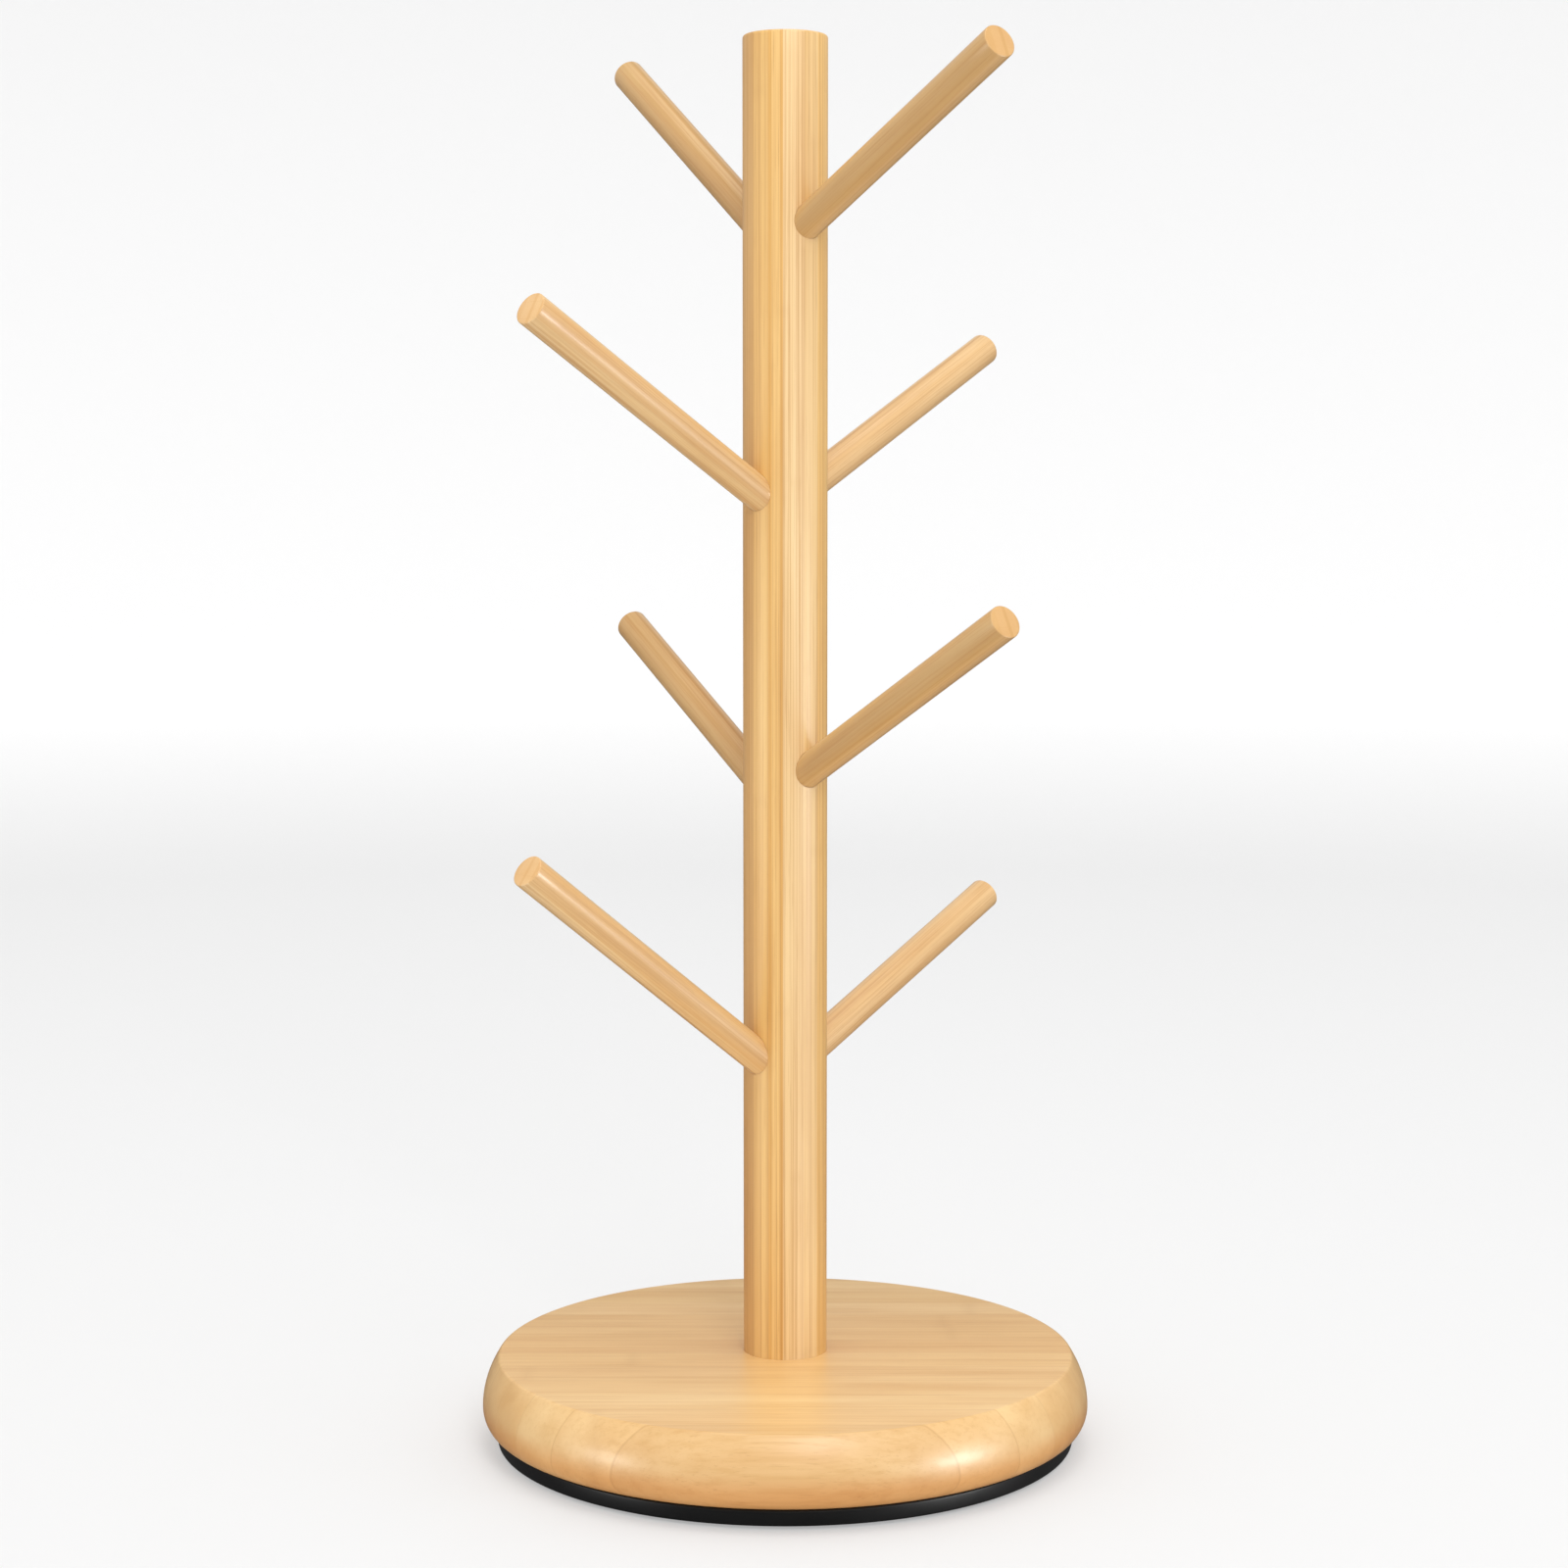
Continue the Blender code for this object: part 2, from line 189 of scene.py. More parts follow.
def layGrain(piece, place, shift=(0.0, 0.0, 0.0)):
    # "grain" tells the wood how far each point is along, across and up the strips, in metres;
    # "endGrain" is 1 where the fibres run straight out of the surface
    mesh = piece.data
    back = place.inverted()
    along = place.to_3x3().col[0]
    mesh.attributes.new("grain", "FLOAT_VECTOR", "POINT")
    mesh.attributes.new("endGrain", "FLOAT", "POINT")
    grain, endGrain = mesh.attributes["grain"].data, mesh.attributes["endGrain"].data
    for vertex, point, end in zip(mesh.vertices, grain, endGrain):
        point.vector = back @ vertex.co + Vector(shift)
        end.value = abs(vertex.normal.dot(along))


# Bamboo: strips split from the cane, planed, glued into a board or a blank, turned, sanded and lacquered.
# Each strip has its own tone. Its fibre bundles show as fine streaks, fainter where they are cut across.
# The joints between culms show as short darker bands, and the clear lacquer leaves a soft satin gloss.
# Lengths are in mm. tones holds (where a strip starts, its colour) from the front or left edge on, and
# an Amount says how much of a feature's own colour lies over that.
boardStrips = ("#EAC186", "#F1C98D", "#F4CE92", "#F1C88A", "#EFC587", "#F3CA8B", "#EDC080", "#F0C688",
               "#EDC284", "#F2CB91", "#EDC486", "#F3CD93", "#E9C186")
boardStrip, boardStripStart = 16.25, -102.5
baseWood = {
    "halfWidth": 104.0, "strip": boardStrip, "stripShift": 0.067, "ply": 60.0, "plyShift": 0.5,
    "tones": [(boardStripStart + boardStrip * place, tone) for place, tone in enumerate(boardStrips)],
    "fibreWidth": 1.8, "fibreLength": 110.0, "fibreColour": "#D9A660", "fibreAmount": 0.34,
    "dashWidth": 0.5, "dashLength": 15.0, "dashColour": "#BE8644", "dashAmount": 0.26,
    "slowWidth": 9.0, "slowLength": 90.0, "slowColour": "#F4EBDD",
    "glueWidth": 0.25, "glueColour": "#C99557", "glueAmount": 0.32,
    "knuckleEvery": 230.0, "knuckleWidth": 3.5, "knuckleColour": "#C08C4E", "knuckleAmount": 0.15,
    "endColour": "#D5A469", "endAmount": 0.3,
    # painted shade low on the side: where it starts and ends below the top, its colour and how much of it
    "lowShadeFrom": -10.5, "lowShadeTo": -18.5, "lowShadeColour": "#EFB75E", "lowShadeAmount": 0.5,
    "coat": 0.6, "coatRoughness": 0.3, "roughness": 0.40, "roughnessSpread": 0.07, "bump": 0.25,
}
postWood = dict(
    baseWood, halfWidth=14.0, strip=4.7, stripShift=0.1, ply=9.5, plyShift=0.35,
    tones=((-14.0, "#DDAF70"), (-10.4, "#EDC17A"), (-8.0, "#F3C980"), (-5.6, "#EBBA6B"),
           (-4.5, "#F4CA82"), (-1.7, "#E8B567"), (-0.8, "#F6D59E"), (2.8, "#F4D39E"),
           (6.2, "#F0CD91"), (10.6, "#EFC47B")),
    fibreWidth=0.55, fibreLength=260.0, fibreColour="#C9934E", fibreAmount=0.62,
    dashWidth=0.4, dashLength=30.0, dashAmount=0.36, glueWidth=0.2, glueAmount=0.2,
    knuckleAmount=0.08, lowShadeAmount=0.0, coat=0.2, roughness=0.48)
armWood = dict(
    baseWood, halfWidth=8.0, strip=7.0, stripShift=0.5, ply=6.0, plyShift=0.5,
    tones=((-8.0, "#E6BE86"), (-3.2, "#EAC590"), (0.0, "#E2B87E"), (1.2, "#ECC994"), (4.0, "#E5BC84")),
    fibreWidth=0.55, fibreLength=70.0, fibreColour="#C48A48", fibreAmount=0.42,
    dashWidth=0.4, dashLength=22.0, glueAmount=0.15, knuckleAmount=0.0,
    endColour="#E9AF66", endAmount=0.35, lowShadeAmount=0.0)
# painted shade: a darker copy of the peg wood, for the pegs of levels 1 and 3
shadedArmWood = dict(
    armWood,
    tones=((-8.0, "#D4AC72"), (-3.2, "#D9B27B"), (0.0, "#CEA467"), (1.2, "#DBB57E"), (4.0, "#D3AA70")))
fibreRange, dashRange = (0.47, 0.66), (0.58, 0.70)  # stretch of the noise over which each sets in
endRange, cutRange = (0.55, 1.0), (0.3, 0.9)  # stretch of endGrain over which ends darken and streaks fade
cutStreaks = 0.25  # share of the streaks that is left on a cut end
plyStagger = 7.3  # strips by which chance may move a ply's joints
noiseApart = (37.0, 53.0, 71.0)  # how far apart in the noise the strips lie
glueCore = 0.25  # share of a glue line's width that has its full colour
raggedness = 4.0  # mm by which a knuckle's edge wanders
knuckleCore = 0.4  # mm of a knuckle that has its full colour
dashDepth, glueDepth, bumpDepth = 0.6, 0.8, 0.06 * mm  # first two as shares of the fibres' depth


def bambooMaterial(name, look):
    material, tree, shader = newMaterial(name, IOR=1.5, Coat_Weight=look["coat"],
                                         Coat_Roughness=look["coatRoughness"], Coat_IOR=1.5)
    grain = addNode(tree, "ShaderNodeAttribute", attribute_name="grain").outputs["Vector"]
    endGrain = addNode(tree, "ShaderNodeAttribute", attribute_name="endGrain").outputs["Fac"]
    axes = addNode(tree, "ShaderNodeSeparateXYZ", {0: grain}).outputs
    along, across, up = axes["X"], axes["Y"], axes["Z"]

    # which ply and which strip of it a point is in
    plyPlace = addNode(tree, "ShaderNodeMath", {0: up, 1: 1 / (look["ply"] * mm), 2: look["plyShift"]},
                       operation="MULTIPLY_ADD").outputs[0]
    plyNumber = addNode(tree, "ShaderNodeMath", {0: plyPlace}, operation="FLOOR").outputs[0]
    plyChance = addNode(tree, "ShaderNodeTexWhiteNoise", {"W": plyNumber},
                        noise_dimensions="1D").outputs["Value"]
    stagger = addNode(tree, "ShaderNodeMath", {0: plyChance, 1: plyStagger, 2: look["stripShift"]},
                      operation="MULTIPLY_ADD").outputs[0]
    stripPlace = addNode(tree, "ShaderNodeMath", {0: across, 1: 1 / (look["strip"] * mm), 2: stagger},
                         operation="MULTIPLY_ADD").outputs[0]
    stripNumber = addNode(tree, "ShaderNodeMath", {0: stripPlace}, operation="FLOOR").outputs[0]
    cell = addNode(tree, "ShaderNodeCombineXYZ", {"X": plyNumber, "Y": stripNumber}).outputs[0]
    chance = addNode(tree, "ShaderNodeTexWhiteNoise", {"Vector": cell}, noise_dimensions="3D").outputs

    # the tone of each strip
    half = look["halfWidth"]
    side = addNode(tree, "ShaderNodeMapRange",
                   {"Value": across, "From Min": -half * mm, "From Max": half * mm}).outputs[0]
    strips = addNode(tree, "ShaderNodeValToRGB", {"Fac": side})
    strips.color_ramp.interpolation = "CONSTANT"
    colour = setStops(strips, [((start + half) / (2 * half), hexColour(tone))
                               for start, tone in look["tones"]])

    # fibre bundles: long soft streaks, then short dark dashes, both fainter where they are cut across
    streaks = addNode(tree, "ShaderNodeMapRange",
                      {"Value": endGrain, "From Min": cutRange[0], "From Max": cutRange[1],
                       "To Min": 1.0, "To Max": cutStreaks}).outputs[0]
    heights = []
    for part, (low, high) in (("fibre", fibreRange), ("dash", dashRange)):
        length, width = look[part + "Length"] * mm, look[part + "Width"] * mm
        stretched = addNode(tree, "ShaderNodeVectorMath", {0: grain, 1: (1 / length, 1 / width, 1 / width)},
                            operation="MULTIPLY").outputs[0]
        parted = addNode(tree, "ShaderNodeVectorMath", {0: chance["Color"], 1: noiseApart, 2: stretched},
                         operation="MULTIPLY_ADD").outputs[0]
        noise = addNode(tree, "ShaderNodeTexNoise", {"Vector": parted, "Scale": 1.0, "Detail": 3.0,
                                                     "Roughness": 0.6}).outputs["Fac"]
        amount = addNode(tree, "ShaderNodeMapRange", {"Value": noise, "From Min": low, "From Max": high,
                                                      "To Max": look[part + "Amount"]}).outputs[0]
        amount = addNode(tree, "ShaderNodeMath", {0: amount, 1: streaks}, operation="MULTIPLY").outputs[0]
        colour = addNode(tree, "ShaderNodeMix",
                         {0: amount, 6: colour, 7: hexColour(look[part + "Colour"])},
                         data_type="RGBA").outputs[2]
        heights.append(noise)
    fibreNoise, dashNoise = heights

    # slow change of tone along each strip
    length, width = look["slowLength"] * mm, look["slowWidth"] * mm
    slowPlace = addNode(tree, "ShaderNodeVectorMath", {0: grain, 1: (1 / length, 1 / width, 1 / width)},
                        operation="MULTIPLY").outputs[0]
    slow = addNode(tree, "ShaderNodeTexNoise",
                   {"Vector": slowPlace, "Scale": 1.0, "Detail": 2.0}).outputs["Fac"]
    slowTone = setStops(addNode(tree, "ShaderNodeValToRGB", {"Fac": slow}),
                        ((0.3, hexColour(look["slowColour"])), (0.7, hexColour("#FFFFFF"))))
    colour = addNode(tree, "ShaderNodeMix", {0: 1.0, 6: colour, 7: slowTone}, data_type="RGBA",
                     blend_type="MULTIPLY").outputs[2]

    # glue lines between plies and strips
    gaps = []
    for place, size in ((plyPlace, look["ply"]), (stripPlace, look["strip"])):
        gap = addNode(tree, "ShaderNodeMath", {0: place, 1: 0.5}, operation="PINGPONG").outputs[0]
        gap = addNode(tree, "ShaderNodeMath", {0: gap, 1: size * mm}, operation="MULTIPLY").outputs[0]
        gaps.append(gap)
    toGlue = addNode(tree, "ShaderNodeMath", {0: gaps[0], 1: gaps[1]}, operation="MINIMUM").outputs[0]
    glue = addNode(tree, "ShaderNodeMapRange",
                   {"Value": toGlue, "From Min": look["glueWidth"] * glueCore * mm,
                    "From Max": look["glueWidth"] * mm, "To Min": look["glueAmount"],
                    "To Max": 0.0}).outputs[0]
    colour = addNode(tree, "ShaderNodeMix", {0: glue, 6: colour, 7: hexColour(look["glueColour"])},
                     data_type="RGBA").outputs[2]

    # knuckles, at a place of its own on every strip
    every = look["knuckleEvery"]
    knucklePlace = addNode(tree, "ShaderNodeMath", {0: along, 1: 1 / (every * mm), 2: chance["Value"]},
                           operation="MULTIPLY_ADD").outputs[0]
    toKnuckle = addNode(tree, "ShaderNodeMath", {0: knucklePlace, 1: 0.5}, operation="PINGPONG").outputs[0]
    toKnuckle = addNode(tree, "ShaderNodeMath", {0: toKnuckle, 1: every}, operation="MULTIPLY").outputs[0]
    ragged = addNode(tree, "ShaderNodeMath", {0: fibreNoise, 1: raggedness, 2: toKnuckle},
                     operation="MULTIPLY_ADD").outputs[0]
    knuckle = addNode(tree, "ShaderNodeMapRange",
                      {"Value": ragged, "From Min": raggedness / 2 - knuckleCore,
                       "From Max": raggedness / 2 + look["knuckleWidth"],
                       "To Min": look["knuckleAmount"], "To Max": 0.0}).outputs[0]
    colour = addNode(tree, "ShaderNodeMix", {0: knuckle, 6: colour, 7: hexColour(look["knuckleColour"])},
                     data_type="RGBA").outputs[2]

    # cut ends drink more lacquer and look darker
    ends = addNode(tree, "ShaderNodeMapRange",
                   {"Value": endGrain, "From Min": endRange[0], "From Max": endRange[1],
                    "To Max": look["endAmount"]}, interpolation_type="SMOOTHSTEP").outputs[0]
    colour = addNode(tree, "ShaderNodeMix", {0: ends, 6: colour, 7: hexColour(look["endColour"])},
                     data_type="RGBA").outputs[2]

    # painted shade: the colour is multiplied darker and more amber towards the bottom of a standing side
    low = addNode(tree, "ShaderNodeMapRange",
                  {"Value": up, "From Min": look["lowShadeFrom"] * mm, "From Max": look["lowShadeTo"] * mm,
                   "To Max": look["lowShadeAmount"]}, interpolation_type="SMOOTHSTEP").outputs[0]
    colour = addNode(tree, "ShaderNodeMix", {0: low, 6: colour, 7: hexColour(look["lowShadeColour"])},
                     data_type="RGBA", blend_type="MULTIPLY").outputs[2]
    tree.links.new(colour, shader.inputs["Base Color"])

    sheen = addNode(tree, "ShaderNodeMapRange",
                    {"Value": fibreNoise, "To Min": look["roughness"] - look["roughnessSpread"],
                     "To Max": look["roughness"] + look["roughnessSpread"]}).outputs[0]
    tree.links.new(sheen, shader.inputs["Roughness"])
    height = addNode(tree, "ShaderNodeMath", {0: dashNoise, 1: dashDepth, 2: fibreNoise},
                     operation="MULTIPLY_ADD").outputs[0]
    height = addNode(tree, "ShaderNodeMath", {0: glue, 1: -glueDepth, 2: height},
                     operation="MULTIPLY_ADD").outputs[0]
    bump = addNode(tree, "ShaderNodeBump",
                   {"Strength": look["bump"], "Distance": bumpDepth, "Height": height}).outputs[0]
    tree.links.new(bump, shader.inputs["Normal"])
    return material


# The other finishes. grain is the size of the fine pattern in mm, and spread is how far the roughness
# wanders to either side.
finishes = {
    # ABS, injection moulded in a spark-eroded mould: near black, with a very fine satin grain
    "blackAbs": {"colours": ("#060607", "#0A0A0B"), "metallic": 0.0, "roughness": 0.44, "spread": 0.05,
                 "grain": 0.5, "bump": 0.12, "specular": 0.5},
    # rubber, compression moulded: dull and slightly dusty
    "blackRubber": {"colours": ("#1B1B1C", "#232324"), "metallic": 0.0, "roughness": 0.82, "spread": 0.06,
                    "grain": 0.4, "bump": 0.3, "specular": 0.3},
    # mild steel, pressed or turned, then zinc plated: pale, with faint cloudy spangle
    "zincSteel": {"colours": ("#B9BDC2", "#CDD0D3"), "metallic": 1.0, "roughness": 0.32, "spread": 0.08,
                  "grain": 2.5, "bump": 0.06, "specular": 0.5},
    # chrome steel, ground and polished: bright, with hair-fine marks
    "ballSteel": {"colours": ("#D3D4D6", "#DCDDDF"), "metallic": 1.0, "roughness": 0.1, "spread": 0.04,
                  "grain": 0.6, "bump": 0.03, "specular": 0.5},
    # nylon, injection moulded: milky, with a soft gloss
    "whiteNylon": {"colours": ("#E3DFD3", "#ECE9DF"), "metallic": 0.0, "roughness": 0.45, "spread": 0.06,
                   "grain": 0.8, "bump": 0.1, "specular": 0.5},
    # brass, turned from bar: yellow, with tool marks
    "turnedBrass": {"colours": ("#D2A347", "#E0B761"), "metallic": 1.0, "roughness": 0.26, "spread": 0.08,
                    "grain": 0.5, "bump": 0.1, "specular": 0.5},
}


cloudSize = 18.0  # mm across the broad pattern that lies under the fine one
colourRange, glossRange = (0.75, 1.25), (0.6, 1.4)  # stretch of the two noises' sum that each follows
finishDepth = 0.05 * mm


def plainMaterial(name, look):
    material, tree, shader = newMaterial(name, Metallic=look["metallic"],
                                         Specular_IOR_Level=look["specular"])
    place = addNode(tree, "ShaderNodeTexCoord").outputs["Object"]
    fine = addNode(tree, "ShaderNodeTexNoise", {"Vector": place, "Scale": 1 / (look["grain"] * mm),
                                                "Detail": 2.0}).outputs["Fac"]
    broad = addNode(tree, "ShaderNodeTexNoise", {"Vector": place, "Scale": 1 / (cloudSize * mm),
                                                 "Detail": 3.0}).outputs["Fac"]
    both = addNode(tree, "ShaderNodeMath", {0: fine, 1: broad}, operation="ADD").outputs[0]
    blend = addNode(tree, "ShaderNodeMapRange", {"Value": both, "From Min": colourRange[0],
                                                 "From Max": colourRange[1]}).outputs[0]
    dark, pale = look["colours"]
    colour = setStops(addNode(tree, "ShaderNodeValToRGB", {"Fac": blend}),
                      ((0.0, hexColour(dark)), (1.0, hexColour(pale))))
    tree.links.new(colour, shader.inputs["Base Color"])
    sheen = addNode(tree, "ShaderNodeMapRange",
                    {"Value": both, "From Min": glossRange[0], "From Max": glossRange[1],
                     "To Min": look["roughness"] - look["spread"],
                     "To Max": look["roughness"] + look["spread"]}).outputs[0]
    tree.links.new(sheen, shader.inputs["Roughness"])
    bump = addNode(tree, "ShaderNodeBump",
                   {"Strength": look["bump"], "Distance": finishDepth, "Height": fine}).outputs[0]
    tree.links.new(bump, shader.inputs["Normal"])
    return material


bambooBoard = bambooMaterial("bambooBoard", baseWood)
bambooPost = bambooMaterial("bambooPost", postWood)
bambooPeg = bambooMaterial("bambooPeg", armWood)
bambooPegShaded = bambooMaterial("bambooPegShaded", shadedArmWood)
finish = {name: plainMaterial(name, look) for name, look in finishes.items()}
print("materials ready")

# Wooden base: a round board with a bowed side, bored for the post and hollowed for the ball ring (mm)
boardShape = {
    "sides": 224, "topEdgeIn": 5.5, "widestUp": 6.5, "lowerEdgeIn": 4.5, "arris": 0.7, "lowerArris": 0.5,
    "pocketRadius": 76.0, "pocketTop": 15.0, "boltHole": 4.3, "socketFloor": 27.0, "fit": 0.04,
    "pilotRadius": 1.8, "pilotTop": 22.3, "pilotSides": 24, "curveSteps": 14,
}


def makeBaseBoard():
    look = boardShape
    widest, bottom, top = standing("wood_base")
    postRadius = standing("post")[0]
    bow, lowerIn, widestHeight = look["topEdgeIn"], look["lowerEdgeIn"], bottom + look["widestUp"]
    steps = look["curveSteps"]
    outline = [(look["boltHole"], look["socketFloor"]), (postRadius + look["fit"], look["socketFloor"]),
               (postRadius + look["fit"], top)]
    for step in range(steps):  # the bowed side, from the top edge down to the widest place
        share = 1 - step / steps
        outline.append((widest - bow * share ** 2, widestHeight + (top - widestHeight) * share))
    for step in range(steps + 1):  # the round lower edge
        angle = math.pi / 2 * step / steps
        outline.append((widest - lowerIn * (1 - math.cos(angle)),
                        widestHeight - look["widestUp"] * math.sin(angle)))
    outline += [(look["pocketRadius"], bottom), (look["pocketRadius"], look["pocketTop"]),
                (look["boltHole"], look["pocketTop"])]
    rounds = [(widest - bow, top, look["arris"]), (look["pocketRadius"], bottom, look["lowerArris"])]
    board = addObject("baseBoard", turned(outline, look["sides"], rounds))
    pilots = bmesh.new()
    addScrewHoles(pilots, "inner", look["pilotRadius"], look["pocketTop"] - overrun, look["pilotTop"],
                  look["pilotSides"])
    cutAway(board, pilots)
    layGrain(board, axisFrame(Vector((0, 0, top * mm)), Vector((1, 0, 0)), Vector((0, 0, 1))))
    dress(board, bambooBoard, "wood_base")


makeBaseBoard()
print("base board made")

# Post: a blank of strips turned to a rod, its top edge eased, drilled for the pegs and the insert (mm)
postShape = {
    "sides": 160, "arris": 1.0, "ringEvery": 9.0, "boltHole": 4.3, "boreTop": 54.0, "insertHole": 7.3,
    "insertTop": 46.3, "fit": 0.04, "pegHole": 40.0, "pegHoleBehind": 0.3, "pegSides": 96,
}
pegShape = {
    "radius": 5.5, "sides": 72, "arris": 0.45, "hiddenArris": 0.3, "rings": 12,
    "shadedLevels": ("1", "3"), "grainShift": (400.0, 3.0, 3.0),
}
armNodes = sorted(node for node in frame["nodes"] if node.startswith("arm_"))


def pegLine(node):  # the hidden end and the direction and length of a peg, from its own points
    points = numpy.unique(numpy.round([v.co[:] for v in frame["nodes"][node].data.vertices], 6), axis=0)
    centre = points.mean(axis=0)
    along = numpy.linalg.svd(points - centre)[2][0]
    if centre[0] * along[0] + centre[1] * along[1] < 0:  # outwards from the post
        along = -along
    reach = (points - centre) @ along
    return Vector(centre + along * reach.min()), Vector(along), float(reach.max() - reach.min()) / mm


def pegPlace(hiddenEnd, along):
    return Matrix.Translation(hiddenEnd) @ along.to_track_quat("Z", "Y").to_matrix().to_4x4()


def makePost():
    look = postShape
    radius, bottom, top = standing("post")
    outline = [(0, look["boreTop"]), (look["boltHole"], look["boreTop"]),
               (look["boltHole"], look["insertTop"]), (look["insertHole"], look["insertTop"]),
               (look["insertHole"], bottom)]
    rings = int((top - bottom) / look["ringEvery"])
    outline += [(radius, bottom + (top - bottom) * ring / rings) for ring in range(rings + 1)]
    outline.append((0, top))
    post = addObject("centrePost", turned(outline, look["sides"], [(radius, top, look["arris"])]))
    holes = bmesh.new()
    outwards = Matrix.Translation((0, 0, (look["pegHole"] / 2 - look["pegHoleBehind"]) * mm))
    for node in armNodes:
        hiddenEnd, along = pegLine(node)[:2]
        addCylinder(holes, pegShape["radius"] + look["fit"], look["pegHole"], look["pegSides"],
                    pegPlace(hiddenEnd, along) @ outwards)
    cutAway(post, holes)
    layGrain(post, axisFrame(Vector((0, 0, 0)), Vector((0, 0, 1)), Vector((0, 1, 0))))
    dress(post, bambooPost, "post")


makePost()
print("post made")


def makePeg(node):
    look = pegShape
    hiddenEnd, along, length = pegLine(node)
    radius, rings = look["radius"], look["rings"]
    outline = [(0, 0)] + [(radius, length * ring / rings) for ring in range(rings + 1)] + [(0, length)]
    rounds = [(radius, length, look["arris"]), (radius, 0, look["hiddenArris"])]
    shape = turned(outline, look["sides"], rounds)
    bmesh.ops.transform(shape, matrix=pegPlace(hiddenEnd, along), verts=shape.verts)
    number, side = node.split("_")[1:]
    peg = addObject(f"peg{side.capitalize()}{number}", shape)
    shift = [random.uniform(-0.5, 0.5) * size * mm for size in look["grainShift"]]
    layGrain(peg, axisFrame(hiddenEnd, along, Vector((0, 0, 1))), shift)
    # the pegs of levels 1 and 3 take the darker copy of the wood, as painted shade
    dress(peg, bambooPegShaded if number in look["shadedLevels"] else bambooPeg, node)


for armNode in armNodes:
    makePeg(armNode)
print("pegs made")

# Foot: a moulded disc with pockets for its pads, blind screw holes, a bore, and a hole to reach the upper
# screws (mm). tread goes from a pad's middle outwards, as (share of its radius, share of the groove depth).
footShape = {
    "sides": 192, "bore": 12.0, "topArris": 0.8, "bottomArris": 0.6, "boreArris": 0.4,
    "padFit": 0.3, "padPocket": 2.2, "padSides": 64,
    "screwHole": 1.8, "screwHoleBottom": 2.3, "screwSides": 32,
    "accessHole": 4.5, "accessCircle": 54.0, "accessAngle": 45.0, "accessSides": 48,
}
padShape = {
    "sides": 64, "edgeArris": 0.5, "topArris": 0.25, "grooveDepth": 0.25,
    "tread": ((0, 1), (0.24, 1), (0.28, 0), (0.4, 0), (0.44, 1), (0.62, 1), (0.66, 0), (1, 0)),
}


def makeFoot():
    look = footShape
    radius, bottom, top = standing("foot_disc")
    outline = [(look["bore"], bottom), (radius, bottom), (radius, top), (look["bore"], top)]
    rounds = [(radius, top, look["topArris"]), (radius, bottom, look["bottomArris"]),
              (look["bore"], bottom, look["boreArris"]), (look["bore"], top, look["boreArris"])]
    foot = addObject("footDisc", turned(outline, look["sides"], rounds))
    holes = bmesh.new()
    for number in padNumbers:
        padLow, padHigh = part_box(f"rubber_pad_{number}")
        place = (padLow + padHigh) / 2
        addUpright(holes, (padHigh.x - padLow.x) / 2 / mm + look["padFit"], bottom - overrun,
                   look["padPocket"], look["padSides"], place.x, place.y)
    addScrewHoles(holes, "outer", look["screwHole"], look["screwHoleBottom"], top + overrun,
                  look["screwSides"])
    angle, reach = math.radians(look["accessAngle"]), look["accessCircle"] * mm
    addUpright(holes, look["accessHole"], bottom - overrun, top + overrun, look["accessSides"],
               reach * math.cos(angle), reach * math.sin(angle))
    cutAway(foot, holes)
    dress(foot, finish["blackAbs"], "foot_disc")


def makePads():
    look = padShape
    for number in padNumbers:
        node = f"rubber_pad_{number}"
        low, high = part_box(node)
        radius, thickness = (high.x - low.x) / 2 / mm, high.z / mm
        outline = [(radius * out, look["grooveDepth"] * up) for out, up in look["tread"]]
        outline += [(radius, thickness), (0, thickness)]
        rounds = [(radius, 0, look["edgeArris"]), (radius, thickness, look["topArris"])]
        shape = turned(outline, look["sides"], rounds)
        place = (low + high) / 2
        bmesh.ops.translate(shape, verts=shape.verts, vec=(place.x, place.y, 0))
        dress(addObject(f"footPad{number}", shape), finish["blackRubber"], node)


makeFoot()
makePads()
print("foot and pads made")

# Ball ring: two turned races, a cage, and the balls (mm)
ringShape = {
    "sides": 160, "flange": 2.0, "outerWall": 66.5, "innerWall": 57.4, "innerRim": 50.0, "split": 1.0,
    "groove": 2.8, "grooveSteps": 12, "edge": 0.25, "screwHole": 1.8, "screwSides": 32,
    "cageHalf": 0.5, "pocket": 2.8, "pocketLength": 6.0, "pocketSides": 32, "ballSplits": 4,
}


def grooveLine(circle, height, side):  # the ball groove of one race, from below upwards
    radius, steps = ringShape["groove"], ringShape["grooveSteps"]
    widest = math.acos(ringShape["split"] / radius)
    line = []
    for step in range(steps + 1):
        angle = widest * (2 * step / steps - 1)
        line.append((circle + side * radius * math.cos(angle), height + radius * math.sin(angle)))
    return line


